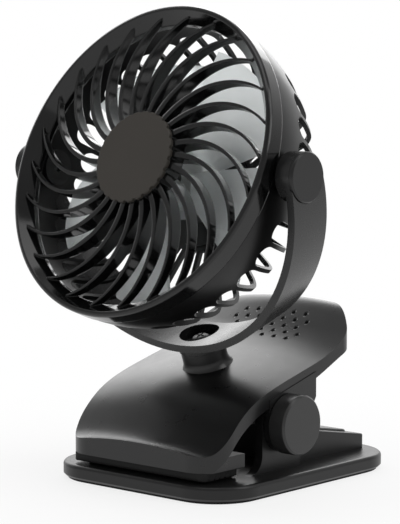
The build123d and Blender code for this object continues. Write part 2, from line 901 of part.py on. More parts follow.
def window_half_width(radius):
    """Half of the gap between two bars at a distance from the fan's axis."""
    return radius * math.tan(math.pi / window_count) - rear_bar_width / 2


def shell_window(front_z):
    """One opening: a round front end in the shell's side, open from there to the mount."""
    inner = window_inner_radius
    outer = head_radius + past
    near = window_half_width(inner)
    far = window_half_width(outer)
    tip_z = front_z - window_half_width(head_radius - shell_waist_inset)
    bottom_z = mount_back_z - past
    plan = Polyline((inner, -near, 0), (outer, -far, 0), (outer, far, 0), (inner, near, 0),
                    close=True)
    slot = Pos(0, 0, bottom_z) * extrude(closed_face(plan), amount=tip_z - bottom_z, dir=(0, 0, 1))
    tip = Pos((inner + outer) / 2, 0, tip_z) * Rot(0, 90, 0) * Cone(near, far, outer - inner)
    return slot + tip


def shell_windows():
    """All openings between the bars; those behind a side boss start further back."""
    long_window = shell_window(window_front_z)
    short_window = shell_window(-head_boss_radius - window_boss_gap)
    windows = []
    for i in range(window_count):
        angle = window_first_angle + i * 360 / window_count
        from_boss = abs((angle + 90) % 180 - 90)
        window = short_window if from_boss < window_short_angle else long_window
        windows.append(Rot(0, 0, angle) * window)
    return windows


def motor_screw_places():
    """The three screws that hold the motor, round the fan's axis."""
    return [Rot(0, 0, angle) * Pos(motor_screw_circle / 2, 0, 0) for angle in (90, 210, 330)]


def rear_shell():
    body = shell_form(0) - shell_form(shell_wall) - shell_windows()
    mount_front = mount_back_z + mount_thickness
    body += z_cylinder(mount_radius, mount_back_z, mount_front)
    for side in (-1, 1):
        inner = head_radius - shell_waist_inset - shell_wall - head_boss_root
        body += x_cylinder(head_boss_radius, side * inner, side * head_boss_x())
        body -= x_cylinder(pivot_screw_radius, side * (inner - past), side * (head_boss_x() + past))
    for place in motor_screw_places():
        body -= place * z_cylinder(motor_screw_radius + screw_gap, mount_back_z - past, mount_front + past)
    return placed(head_plane, body)


def rim_ring():
    """The front rim: a rounded lip with a wide cone down to the grille."""
    back = parting_z
    return ring_solid([
        (rim_inner_radius, back), (head_radius, back), (head_radius, rim_front - rim_lip),
        (head_radius - rim_lip * 0.3, rim_front - rim_lip * 0.3), (head_radius - rim_lip, rim_front),
        (head_radius - rim_lip * 1.6, rim_front), (rim_inner_radius, rim_inner_z),
    ])


def polar(radius, angle):
    """Point at a radius and an angle in degrees, seen from the front."""
    return (radius * math.cos(math.radians(angle)), radius * math.sin(math.radians(angle)), 0)


def spiral_angle(radius):
    """Angle of a bar's middle, behind its base, at a radius: it bends more towards the rim."""
    share = (radius - spiral_base_radius) / (spiral_tip_radius - spiral_base_radius)
    return -spiral_sweep * share ** spiral_bow


def spiral_lean(radius):
    """Angle between a bar and the radius that it crosses."""
    span = spiral_tip_radius - spiral_base_radius
    share = (radius - spiral_base_radius) / span
    turn = math.radians(spiral_sweep) * spiral_bow * share ** (spiral_bow - 1) / span
    return math.atan(radius * turn)


def spiral_side(sign):
    """Points of one side of a bar, from its base to its tip."""
    middle_radius = (spiral_base_radius + spiral_tip_radius) / 2
    points = []
    for radius, width in ((spiral_base_radius, spiral_base_width),
                          (middle_radius, (spiral_base_width + spiral_tip_width) / 2),
                          (spiral_tip_radius, spiral_tip_width)):
        shift = math.degrees(sign * width / 2 / radius / math.cos(spiral_lean(radius)))
        points.append(polar(radius, spiral_angle(radius) + shift))
    return points


def spiral_bar():
    """One bar of the grille, curved in plan and thinner towards its tip."""
    left = spiral_side(1)
    right = spiral_side(-1)
    face = closed_face(
        ThreePointArc(*left),
        Line(left[-1], right[-1]),
        ThreePointArc(*right[::-1]),
        Line(right[0], left[0]),
    )
    return extrude(face, amount=rim_front + past, dir=(0, 0, 1))


def spiral_envelope():
    """The bars stand deep at the hub and run out onto the rim's cone."""
    inner = hub_radius - hub_wall / 2
    outer = spiral_tip_radius + past
    return ring_solid([
        (inner, spiral_hub_z), (outer, spiral_tip_z), (outer, spiral_tip_z - spiral_tip_depth),
        (inner, spiral_hub_z - spiral_depth),
    ])


def front_grille():
    body = rim_ring()
    bar = spiral_bar() & spiral_envelope()
    step = 360 / spiral_count
    for i in range(spiral_count):
        body += Rot(0, 0, spiral_first_tip + spiral_sweep + i * step) * bar
    seat = cap_front - cap_thickness
    hub = z_cylinder(hub_radius, seat - hub_depth, seat)
    hub -= z_cylinder(hub_radius - hub_wall, seat - hub_depth - past, seat - hub_wall)
    hub -= z_cylinder(cap_spigot_radius, seat - hub_depth, seat + past)
    return placed(head_plane, body + hub)


def centre_cap():
    """Flat plain cap with a scalloped edge, a scallop at each gap between the bars."""
    seat = cap_front - cap_thickness
    cap = z_cylinder(cap_radius, seat, cap_front)
    cap = chamfer(cap.edges().group_by(Axis.Z)[-1], cap_thickness * 0.25)
    step = 360 / spiral_count
    for i in range(spiral_count):
        angle = spiral_first_tip + spiral_sweep + (i + 0.5) * step
        x, y, z = polar(cap_radius + cap_scallop * 0.45, angle)
        cap -= z_cylinder(cap_scallop, seat - past, cap_front + past, x, y)
    cap += z_cylinder(cap_spigot_radius - cap_fit_gap, seat - cap_spigot_length, seat)
    return placed(head_plane, cap)


# ---- motor and impeller -----------------------------------------------------------------
def motor_front_z():
    return mount_back_z + mount_thickness + motor_length


def motor_can():
    back = mount_back_z + mount_thickness
    front = motor_front_z()
    can = z_cylinder(motor_radius, back, front)
    can = chamfer(can.edges().group_by(Axis.Z)[-1], motor_bevel)
    can -= z_cylinder(shaft_radius + running_gap, front - shaft_sunk - shaft_end_gap, front + past)
    for place in motor_screw_places():
        can -= place * z_cylinder(motor_screw_radius, back - past, back + motor_screw_bite)
    return placed(head_plane, can)


def motor_screws():
    screw = pan_screw(motor_screw_radius, mount_thickness + motor_screw_bite,
                      motor_screw_head_radius, motor_screw_head_height)
    backward = Pos(0, 0, mount_back_z) * Rot(180, 0, 0) * screw
    return placed(head_plane, Compound([place * backward for place in motor_screw_places()]))


def motor_shaft():
    start = motor_front_z() - shaft_sunk
    return placed(head_plane, z_cylinder(shaft_radius, start, start + shaft_length))


def blade_section(radius, chord, pitch):
    """Cambered section of a blade, across the blade at one distance from the shaft."""
    half = chord / 2
    camber = chord * blade_camber
    thick = blade_thickness / 2
    upper = ThreePointArc((-half, thick, 0), (0, camber + thick, 0), (half, thick, 0))
    lower = ThreePointArc((half, -thick, 0), (0, camber - thick, 0), (-half, -thick, 0))
    face = closed_face(upper, Line((half, thick, 0), (half, -thick, 0)), lower,
                       Line((-half, -thick, 0), (-half, thick, 0)))
    across = Plane(origin=(radius, 0, blade_center_z), x_dir=(0, 1, 0), z_dir=(1, 0, 0))
    return across.location * Rot(0, 0, pitch) * face


def blade():
    root = impeller_hub_radius - impeller_hub_wall - past
    solid = loft([
        blade_section(root, blade_root_chord, blade_root_pitch),
        blade_section((root + blade_tip_radius) / 2, (blade_root_chord + blade_tip_chord) / 2,
                      (blade_root_pitch + blade_tip_pitch) / 2),
        blade_section(blade_tip_radius + past, blade_tip_chord, blade_tip_pitch),
    ])
    reach = blade_tip_radius + blade_corner
    plan = RectangleRounded(2 * blade_tip_radius, blade_tip_chord, blade_corner)
    slab = Pos(0, 0, -reach) * extrude(plan, amount=2 * reach)
    return solid & slab & z_cylinder(blade_tip_radius, -reach, reach)


def impeller():
    back = impeller_hub_front - impeller_hub_length
    body = z_cylinder(impeller_hub_radius, back, impeller_hub_front)
    body = fillet(body.edges().group_by(Axis.Z)[-1], impeller_hub_wall)
    one = blade()
    for i in range(blade_count):
        body += Rot(0, 0, blade_first_angle + i * 360 / blade_count) * one
    cup = impeller_hub_front - impeller_hub_wall
    body -= z_cylinder(impeller_hub_radius - impeller_hub_wall, back - 20, cup)
    body -= z_cylinder(shaft_radius, cup - past, impeller_hub_front + past)
    return placed(head_plane, body)


def impeller_nut():
    nut = z_cylinder(nut_radius, impeller_hub_front, impeller_hub_front + nut_height)
    nut = chamfer(nut.edges().group_by(Axis.Z)[-1], nut_bevel)
    nut -= z_cylinder(shaft_radius, impeller_hub_front - past, impeller_hub_front + nut_height + past)
    return placed(head_plane, nut)


parts = {
    "base_housing": base_housing(),
    "base_cover": base_cover(),
    "non_slip_foot": non_slip_foot(),
    "case_screws": case_screws(),
    "battery_door": battery_door(),
    "battery_pack": battery_pack(),
    "circuit_board": circuit_board(),
    "usb_socket": usb_socket(),
    "indicator_lenses": indicator_lenses(),
    "power_button": power_button(),
    "lower_grip_pad": lower_grip_pad(),
    "hinge_pin": hinge_pin(),
    "torsion_spring": torsion_spring(),
    "upper_jaw": upper_jaw(),
    "upper_grip_pad": upper_grip_pad(),
    "hinge_cap_left": hinge_cap(-1),
    "hinge_cap_right": hinge_cap(1),
    "swivel_screw": swivel_screw(),
    "swivel_washer": swivel_washer(),
    "yoke": yoke(),
    "yoke_cap_left": yoke_cap(-1),
    "yoke_cap_right": yoke_cap(1),
    "pivot_screw_left": pivot_screw(-1),
    "pivot_screw_right": pivot_screw(1),
    "rear_shell": rear_shell(),
    "front_grille": front_grille(),
    "centre_cap": centre_cap(),
    "motor_can": motor_can(),
    "motor_screws": motor_screws(),
    "motor_shaft": motor_shaft(),
    "impeller": impeller(),
    "impeller_nut": impeller_nut(),
}

os.makedirs("parts", exist_ok=True)
for name, part in parts.items():
    export_step(part, f"parts/{name}.step")
print("spring least gap between turns", round(coil_least_gap(), 3), "mm")
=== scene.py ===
import math

import bmesh
import bpy
from mathutils import Matrix, Vector


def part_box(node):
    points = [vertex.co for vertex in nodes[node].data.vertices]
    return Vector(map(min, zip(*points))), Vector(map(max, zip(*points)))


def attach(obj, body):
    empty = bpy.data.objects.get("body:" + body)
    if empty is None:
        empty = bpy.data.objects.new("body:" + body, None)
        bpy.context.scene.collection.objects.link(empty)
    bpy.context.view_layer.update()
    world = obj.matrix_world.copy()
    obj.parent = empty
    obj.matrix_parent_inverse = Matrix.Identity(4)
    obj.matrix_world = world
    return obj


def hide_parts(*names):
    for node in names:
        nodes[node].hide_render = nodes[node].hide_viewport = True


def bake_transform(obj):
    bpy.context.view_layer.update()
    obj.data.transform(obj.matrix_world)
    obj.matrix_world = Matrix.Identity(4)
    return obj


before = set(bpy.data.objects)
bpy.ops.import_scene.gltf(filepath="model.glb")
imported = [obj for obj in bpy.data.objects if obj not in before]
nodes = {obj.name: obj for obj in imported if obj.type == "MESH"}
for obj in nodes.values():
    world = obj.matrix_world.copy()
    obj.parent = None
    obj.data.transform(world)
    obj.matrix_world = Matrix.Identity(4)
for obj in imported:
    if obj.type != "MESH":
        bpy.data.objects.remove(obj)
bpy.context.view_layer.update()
scene = bpy.context.scene
mm = 0.001

# ---- camera: where the photograph was taken from, in metres and degrees ------------------
camera_target = Vector((0.0, -0.0058, 0.0919))
camera_azimuth = 41.45
camera_height = 5.22
camera_distance = 0.8155
camera_lens = 173.7
camera_sensor = 36.0

# ---- lines and places that the CAD model gives, in metres unless named in mm -------------
hinge = Vector((0, 0.7, 27.0)) * mm
coil_radius = 5.2 * mm
wire_radius = 0.8 * mm
coil_pitch = 2.15 * mm
coil_turns = 7 + 143 / 360
coil_first_angle = math.radians(135)
jaw_leg = 24.0 * mm
base_leg = 16.0 * mm
swivel_lean = math.radians(19.1)
swivel_axis = Vector((0, -math.sin(swivel_lean), math.cos(swivel_lean)))
collar = Vector((0, -3.95, 55.5)) * mm
collar_to_pivot_mm = 0.3 + 3.2 + 76.3
swivel_seat_mm = 3.2
head_tilt = math.radians(22)
fan_axis = Vector((0, -math.cos(head_tilt), math.sin(head_tilt)))
motor_screw_back_mm = 33.5
motor_screw_circle_mm = 8.5
case_screw_x_mm = 37.1
case_screw_rows_mm = (-36.6, 56.4)
case_screw_seat_mm = 2.2
plate_middle_mm = (0, 9.9, 0)
plate_half_mm = (48.9, 58.3)
plate_corner_mm = 20.2
socket_middle = Vector((-18.0, 0, 9.75)) * mm
pit_pitch_mm = (6.7, 6.9)
pit_first_row_mm = 31.3


def toward(azimuth, height):
    """The direction out to an azimuth and a height in degrees; azimuth 0 is the front."""
    a, h = math.radians(azimuth), math.radians(height)
    return Vector((math.sin(a) * math.cos(h), -math.cos(a) * math.cos(h), math.sin(h)))


def aim(thing, away, distance):
    """Puts a camera or lamp at a distance from the target, looking at it."""
    thing.location = camera_target + away * distance
    thing.rotation_euler = away.to_track_quat("Z", "Y").to_euler()
    scene.collection.objects.link(thing)


def make_camera():
    data = bpy.data.cameras.new("camera")
    data.lens = camera_lens
    data.sensor_width = camera_sensor
    data.sensor_fit = "HORIZONTAL"
    camera = bpy.data.objects.new("camera", data)
    aim(camera, toward(camera_azimuth, camera_height), camera_distance)
    scene.camera = camera


make_camera()


# ---- material helpers --------------------------------------------------------------------
class Nodes:
    """Short ways to add nodes to a tree."""

    def __init__(self, tree):
        self.tree = tree

    def put(self, value, socket):
        """Gives a socket a constant, or links an output to it."""
        if isinstance(value, bpy.types.NodeSocket):
            self.tree.links.new(value, socket)
        else:
            socket.default_value = value

    def math(self, operation, *values):
        node = self.tree.nodes.new("ShaderNodeMath")
        node.operation = operation
        for socket, value in zip(node.inputs, values):
            self.put(value, socket)
        return node.outputs[0]

    def ramp(self, value, start, end, low, high, smooth=False):
        """Maps a value from start and end to low and high, held at both."""
        node = self.tree.nodes.new("ShaderNodeMapRange")
        if smooth:
            node.interpolation_type = "SMOOTHSTEP"
        self.put(value, node.inputs["Value"])
        self.put(start, node.inputs["From Min"])
        self.put(end, node.inputs["From Max"])
        self.put(low, node.inputs["To Min"])
        self.put(high, node.inputs["To Max"])
        return node.outputs["Result"]


class Shader(Nodes):
    """A node-based material with one Principled shader."""

    def __init__(self, name):
        self.material = bpy.data.materials.new(name)
        self.material.use_nodes = True
        super().__init__(self.material.node_tree)
        self.surface = self.tree.nodes["Principled BSDF"]
        self.place = self.tree.nodes.new("ShaderNodeTexCoord").outputs["Object"]
        self.relief = None

    def set(self, **values):
        for name, value in values.items():
            self.put(value, self.surface.inputs[name.replace("_", " ")])
        return self

    def noise(self, scale, detail, roughness=0.55):
        node = self.tree.nodes.new("ShaderNodeTexNoise")
        self.put(self.place, node.inputs["Vector"])
        self.put(scale, node.inputs["Scale"])
        self.put(detail, node.inputs["Detail"])
        self.put(roughness, node.inputs["Roughness"])
        return node.outputs["Fac"]

    def split(self):
        """X, Y and Z of the place."""
        node = self.tree.nodes.new("ShaderNodeSeparateXYZ")
        self.put(self.place, node.inputs[0])
        return node.outputs

    def mix(self, value, first, second):
        """Blends two colours, or links, by a value."""
        node = self.tree.nodes.new("ShaderNodeMix")
        node.data_type = "RGBA"
        self.put(value, node.inputs["Factor"])
        for socket, colour in ((node.inputs[6], first), (node.inputs[7], second)):
            self.put((*colour, 1.0) if isinstance(colour, tuple) else colour, socket)
        return node.outputs[2]

    def bump(self, height, distance, strength=1.0, edge=0.0):
        """Adds relief; the normal comes from any relief before it, or from rounded edges."""
        node = self.tree.nodes.new("ShaderNodeBump")
        self.put(distance, node.inputs["Distance"])
        self.put(strength, node.inputs["Strength"])
        self.put(height, node.inputs["Height"])
        if self.relief is not None:
            self.put(self.relief, node.inputs["Normal"])
        elif edge:
            bevel = self.tree.nodes.new("ShaderNodeBevel")
            bevel.samples = 6
            self.put(edge, bevel.inputs["Radius"])
            self.put(bevel.outputs["Normal"], node.inputs["Normal"])
        self.relief = node.outputs["Normal"]
        return self.set(Normal=self.relief)


tone_scale = 28.0
gloss_scale = 160.0
gloss_swing = 0.02


def moulded(name, colour, roughness, grain=1800.0, depth=0.0000006, spread=0.12, edge=0.0004,
            gloss=0.5, metal=0.0):
    """Moulded plastic: an eroded grain, slow changes of tone and slightly uneven gloss."""
    shader = Shader(name)
    light = tuple(c * (1 + spread) for c in colour)
    dark_tone = tuple(c * (1 - spread) for c in colour)
    uneven = shader.ramp(shader.noise(gloss_scale, 4.0), 0.3, 0.7, roughness - gloss_swing,
                         roughness + gloss_swing)
    shader.set(Base_Color=shader.mix(shader.noise(tone_scale, 2.0), dark_tone, light),
               Roughness=uneven, Specular_IOR_Level=gloss, Metallic=metal)
    return shader.bump(shader.noise(grain, 2.0, 0.5), depth, 1.0, edge)


def assign(shader, *names):
    for name in names:
        data = nodes[name].data
        data.materials.clear()
        data.materials.append(shader.material)


# ---- materials ---------------------------------------------------------------------------
black_abs = (0.0080, 0.0080, 0.0082)
gloss_black = (0.0030, 0.0031, 0.0032)
charcoal = moulded("charcoal_abs_satin", black_abs, 0.27, depth=0.0000003, edge=0)
plate_black = moulded("base_abs_satin", black_abs, 0.34, depth=0.0000002, edge=0, gloss=0.42)
ring_black = moulded("ring_abs_satin", gloss_black, 0.10, edge=0.0009)
shell_black = moulded("shell_abs_satin", gloss_black, 0.30, edge=0, gloss=0.35)
soft_grey = moulded("hinge_cap_abs", (0.023, 0.023, 0.023), 0.34, edge=0.0006)
dark = moulded("dark_abs_satin", (0.0055, 0.0055, 0.0057), 0.30)
cap_grey = moulded("centre_cap_matt", (0.046, 0.041, 0.035), 0.5, 1400.0, 0.00001, gloss=0.3)
rubber = moulded("black_rubber_matt", (0.010, 0.010, 0.010), 0.7, 600.0, 0.00006, gloss=0.3)
steel = moulded("zinc_plated_steel", (0.55, 0.55, 0.54), 0.3, 500.0, 0.00001, 0.06, 0, metal=1.0)
wire = moulded("spring_wire", (0.5, 0.5, 0.5), 0.28, 300.0, 0.00001, 0.06, 0, metal=1.0)
blades = moulded("smoke_blades", (0.94, 0.97, 0.97), 0.50, spread=0.02, edge=0)
blades.set(Transmission_Weight=0.85)
# painted shade: the swivel washer sits deep in the yoke's well and is coloured near black,
# standing in for the shade there
well_washer_painted_shade = moulded("nylon_darkened_as_painted_shade", (0.012, 0.012, 0.012), 0.45)
# painted shade: the swivel screw in the yoke's well is coloured dark, standing in for the shade
# there
well_screw_painted_shade = moulded("steel_darkened_as_painted_shade", (0.05, 0.05, 0.05), 0.38, 500.0, 0.00001, 0.06, 0,
                      metal=1.0)
film = moulded("pack_film", (0.05, 0.12, 0.30), 0.3)
board = moulded("green_solder_mask", (0.02, 0.16, 0.06), 0.35)
lens = moulded("frosted_lens", (0.8, 0.82, 0.84), 0.3, 900.0, 0.00001, 0.03)
nickel = moulded("nickel_shell", (0.62, 0.61, 0.58), 0.25, 300.0, 0.000005, 0.05, 0, metal=1.0)
gold = moulded("gold_contacts", (0.80, 0.58, 0.22), 0.25, 300.0, 0.000005, 0.05, 0, metal=1.0)
recess = moulded("recess_shade", (0.05, 0.05, 0.05), 0.55, 500.0, 0.00001, 0.1, 0, metal=1.0)
# painted shade: near black, matt colour for the discs in the jaw's thumb pits
pit_shade = moulded("pit_shade", (0.0015, 0.0015, 0.0015), 0.8, edge=0, gloss=0.05)


def dimpled(name):
    """The jaw's plastic, with the staggered pits of its thumb rest; the pits are bumped, and
    darkened to near black as painted shade.
    """
    pit_inner, pit_outer, pit_depth, pit_strength = 0.0009, 0.0013, 0.0006, 0.8
    pit_painted_shade = (0.001, 0.001, 0.001)
    x_range, y_range, z_range = (-0.0222, 0.0222), (0.0295, 0.0468), (0.050, 0.080)
    pitch_x, pitch_y = (pitch * mm for pitch in pit_pitch_mm)
    shader = moulded(name, black_abs, 0.29, depth=0.0000003, edge=0)
    x, y, z = shader.split()
    distances = []
    for shift in (0.0, 0.5):
        across = shader.math("ADD", shader.math("DIVIDE", x, pitch_x), shift)
        along = shader.math("SUBTRACT", y, pit_first_row_mm * mm)
        along = shader.math("ADD", shader.math("DIVIDE", along, pitch_y), 0.5 - shift)
        squares = []
        for place, pitch in ((across, pitch_x), (along, pitch_y)):
            offset = shader.math("SUBTRACT", shader.math("FRACT", place), 0.5)
            offset = shader.math("MULTIPLY", offset, pitch)
            squares.append(shader.math("MULTIPLY", offset, offset))
        distances.append(shader.math("SQRT", shader.math("ADD", *squares)))
    pit = shader.ramp(shader.math("MINIMUM", *distances), pit_inner, pit_outer, 1.0, 0.0)
    for value, (low, high) in ((x, x_range), (y, y_range), (z, z_range)):
        pit = shader.math("MULTIPLY", pit, shader.math("GREATER_THAN", value, low))
        pit = shader.math("MULTIPLY", pit, shader.math("LESS_THAN", value, high))
    plain = shader.surface.inputs["Base Color"].links[0].from_socket
    # painted shade: inside the pits the colour turns near black, standing in for the shade there
    shader.set(Base_Color=shader.mix(pit, plain, pit_painted_shade))
    return shader.bump(shader.math("SUBTRACT", 1.0, pit), pit_depth, pit_strength)


def treaded(name):
    """The foot's rubber, with a fine diamond tread."""
    tread_rate, tread_depth, tread_strength = 1400.0, 0.0002, 0.7
    shader = moulded(name, (0.010, 0.010, 0.010), 0.75, 600.0, 0.00004, gloss=0.3)
    x, y, z = shader.split()
    waves = []
    for sign in (1.0, -1.0):
        line = shader.math("ADD", x, shader.math("MULTIPLY", y, sign))
        wave = shader.math("SINE", shader.math("MULTIPLY", line, tread_rate))
        waves.append(shader.math("ABSOLUTE", wave))
    return shader.bump(shader.math("MINIMUM", *waves), tread_depth, tread_strength)


assign(charcoal, "yoke")
assign(plate_black, "base_housing", "base_cover")
assign(dimpled("jaw_abs_with_thumb_pits"), "upper_jaw")
assign(soft_grey, "hinge_cap_left", "hinge_cap_right")
assign(ring_black, "front_grille")
assign(shell_black, "rear_shell")
assign(dark, "battery_door", "yoke_cap_left", "yoke_cap_right", "power_button", "impeller_nut")
assign(cap_grey, "centre_cap")
assign(steel, "hinge_pin", "pivot_screw_left", "pivot_screw_right", "motor_can", "motor_shaft")
assign(blades, "impeller")
assign(well_washer_painted_shade, "swivel_washer")
assign(film, "battery_pack")
assign(board, "circuit_board")
assign(lens, "indicator_lenses")
assign(nickel, "usb_socket")


# ---- mesh helpers ------------------------------------------------------------------------
def show(name, mesh, shader, sharp_degrees=None):
    """An object of a mesh, smooth up to an angle where one is given."""
    mesh.materials.append(shader.material)
    if sharp_degrees:
        mesh.shade_smooth()
        mesh.set_sharp_from_angle(angle=math.radians(sharp_degrees))
    piece = bpy.data.objects.new(name, mesh)
    scene.collection.objects.link(piece)
    return piece


def add_mesh(name, points, faces, shader, sharp_degrees=38):
    mesh = bpy.data.meshes.new(name)
    mesh.from_pydata([tuple(p) for p in points], [], faces)
    form = bmesh.new()
    form.from_mesh(mesh)
    bmesh.ops.recalc_face_normals(form, faces=form.faces)
    form.to_mesh(mesh)
    form.free()
    return show(name, mesh, shader, sharp_degrees)


def circle(count):
    """Angles of points evenly round a circle."""
    return [2 * math.pi * j / count for j in range(count)]


def loft(rings, closed=True):
    """Faces between rings of equal numbers of points, with both ends filled."""
    count = len(rings[0])
    points = [p for ring in rings for p in ring]
    faces = []
    for i in range(len(rings) - 1):
        for j in range(count):
            k = (j + 1) % count
            faces.append((i * count + j, i * count + k, (i + 1) * count + k, (i + 1) * count + j))
    if closed:
        faces.append(tuple(range(count)))
        last = (len(rings) - 1) * count
        faces.append(tuple(last + j for j in range(count)))
    return points, faces


def turned(profile, sides=40):
    """A closed form turned about Z from (radius, height) points that start and end on it."""
    rings = []
    for radius, height in profile[1:-1]:
        rings.append([Vector((radius * math.cos(a), radius * math.sin(a), height))
                      for a in circle(sides)])
    points, faces = loft(rings, closed=False)
    low, high = len(points), len(points) + 1
    points += [Vector((0, 0, profile[0][1])), Vector((0, 0, profile[-1][1]))]
    last = (len(rings) - 1) * sides
    for j in range(sides):
        k = (j + 1) % sides
        faces.append((low, k, j))
        faces.append((high, last + j, last + k))
    return points, faces


def rounded_outline(half_x, half_y, corner, steps=10):
    """Points round a rounded rectangle about the origin."""
    points = []
    for cx, cy, start in ((1, 1, 0), (-1, 1, 90), (-1, -1, 180), (1, -1, 270)):
        for i in range(steps + 1):
            a = math.radians(start + 90 * i / steps)
            points.append((cx * (half_x - corner) + corner * math.cos(a),
                           cy * (half_y - corner) + corner * math.sin(a)))
    return points


def cut_away(piece, tool):
    """Cuts the tool out of the piece's mesh and deletes the tool."""
    cut = piece.modifiers.new("cut", "BOOLEAN")
    cut.operation = "DIFFERENCE"
    cut.solver = "EXACT"
    cut.object = tool
    bpy.context.view_layer.update()
    result = piece.evaluated_get(bpy.context.evaluated_depsgraph_get())
    mesh = bpy.data.meshes.new_from_object(result)
    piece.modifiers.remove(cut)
    piece.data = mesh
    bpy.data.objects.remove(tool)


def facing(origin, axis):
    """Matrix that puts z = 0 at the origin and +Z along the axis."""
    return Matrix.Translation(origin) @ Vector(axis).to_track_quat("Z", "Y").to_matrix().to_4x4()


# ---- torsion spring ----------------------------------------------------------------------
def coil_at(turn):
    """The coil's place and direction after a number of turns."""
    angle = coil_first_angle + 2 * math.pi * turn
    place = hinge + Vector(((turn - coil_turns / 2) * coil_pitch,
                            coil_radius * math.cos(angle), coil_radius * math.sin(angle)))
    around = 2 * math.pi * coil_radius
    along = Vector((coil_pitch, -around * math.sin(angle), around * math.cos(angle)))
    return place, along.normalized()


def make_spring():
    """One smooth wire: the leg on the jaw, the coil, and the leg on the base."""
    steps_per_turn, jaw_steps, base_steps, sides, end_share = 36, 8, 6, 14, 0.7
    steps = round(coil_turns * steps_per_turn)
    line = [coil_at(coil_turns * i / steps) for i in range(steps + 1)]
    (first, first_way), (last, last_way) = line[0], line[-1]
    lead = [(first - first_way * jaw_leg * (1 - i / jaw_steps), first_way)
            for i in range(jaw_steps)]
    tail = [(last + last_way * base_leg * (i + 1) / base_steps, last_way)
            for i in range(base_steps)]
    whole = lead + line + tail
    rings = []
    for i, (place, along) in enumerate(whole):
        out = Vector((1, 0, 0)).cross(along).normalized()
        up = along.cross(out).normalized()
        radius = wire_radius * (end_share if i in (0, len(whole) - 1) else 1.0)
        rings.append([place + (out * math.cos(a) + up * math.sin(a)) * radius
                      for a in circle(sides)])
    spring = add_mesh("torsion_spring_wire", *loft(rings), wire)
    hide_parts("torsion_spring")
    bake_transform(spring)


# ---- rubber pads -------------------------------------------------------------------------
def pad_rings(half_width, front, rear, face_z, back_z):
    """Sections of a ribbed pad from front to rear, each a closed line round the pad."""
    rows, corner, rib_pitch, rib_depth, rib_sharpness, lip = 90, 0.004, 0.0032, 0.0007, 1.8, 0.0006
    side = 1 if face_z > back_z else -1
    rings = []
    for i in range(rows + 1):
        y = front + (rear - front) * i / rows
        edge = min(y - front, rear - y)
        gap = max(corner - edge, 0.0)
        width = half_width - corner + math.sqrt(max(corner ** 2 - gap ** 2, 0.0))
        wave = abs(math.cos(math.pi * (y - (front + rear) / 2) / rib_pitch))
        height = face_z - side * rib_depth * (1 - min(wave * rib_sharpness, 1.0))
        height -= side * lip * max(0.0, 1 - edge / lip) ** 2
        soft = [(width, back_z), (width, height - side * lip),
                (width - lip * 0.3, height - side * lip * 0.3), (width - lip, height)]
        inner = [(width * s, height) for s in (0.8, 0.4, 0.0, -0.4, -0.8)]
        mirror = [(-x, z) for x, z in reversed(soft)]
        rings.append([Vector((x, y, z)) for x, z in soft + inner + mirror])
    return rings


def make_pads():
    lower = pad_rings(34.0 * mm, -41.0 * mm, -21.5 * mm, 8.2 * mm, 5.9 * mm)
    low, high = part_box("upper_grip_pad")
    upper = pad_rings(high[0], low[1], high[1], low[2], high[2])
    for name, rings, node, body in (("lower_grip_ribs", lower, "lower_grip_pad", "base"),
                                    ("upper_grip_ribs", upper, "upper_grip_pad", "jaw")):
        pad = add_mesh(name, *loft(rings), rubber)
        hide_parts(node)
        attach(pad, body)


# ---- thumb pits: dark discs as painted shade ---------------------------------------------
def make_pits():
    """Painted shade: dark matt discs in the pits on the jaw's thumb end, set in its surface."""
    rows, half_columns, reach, sides, above = 5, 3, 21 * mm, 16, 0.12
    centre_lift, circles, root = 0.00002, ((0.55, 0.00003), (0.85, 0.00006)), 0.0003
    jaw = nodes["upper_jaw"]
    points, faces = [], []
    for row in range(rows):
        y = (pit_first_row_mm + pit_pitch_mm[1] / 2 * row) * mm
        for column in range(-half_columns, half_columns + 1):
            x = (column + (0.0 if row % 2 else 0.5)) * pit_pitch_mm[0] * mm
            if abs(x) > reach:
                continue
            found, spot, normal, index = jaw.ray_cast(Vector((x, y, above)), Vector((0, 0, -1)))
            if not found:
                continue
            turn = normal.to_track_quat("Z", "Y")
            start = len(points)
            points.append(spot + normal * centre_lift)
            for radius, lift in circles:
                for a in circle(sides):
                    points.append(spot + turn @ Vector((radius * mm * math.cos(a),
                                                        radius * mm * math.sin(a), lift)))
            points.append(spot - normal * root)
            inner, outer, bottom = start + 1, start + 1 + sides, start + 1 + 2 * sides
            for j in range(sides):
                k = (j + 1) % sides
                faces.append((bottom, outer + k, outer + j))
                faces.append((start, inner + j, inner + k))
                faces.append((inner + j, outer + j, outer + k, inner + k))
    pits = add_mesh("thumb_pit_painted_shade", points, faces, pit_shade)
    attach(pits, "jaw")


# ---- screws with cross recesses ----------------------------------------------------------
def cross_outline(half, arm):
    """Twelve corners of a cross."""
    return [(arm, arm), (arm, half), (-arm, half), (-arm, arm), (-half, arm), (-half, -arm),
            (-arm, -arm), (-arm, -half), (arm, -half), (arm, -arm), (half, -arm), (half, arm)]


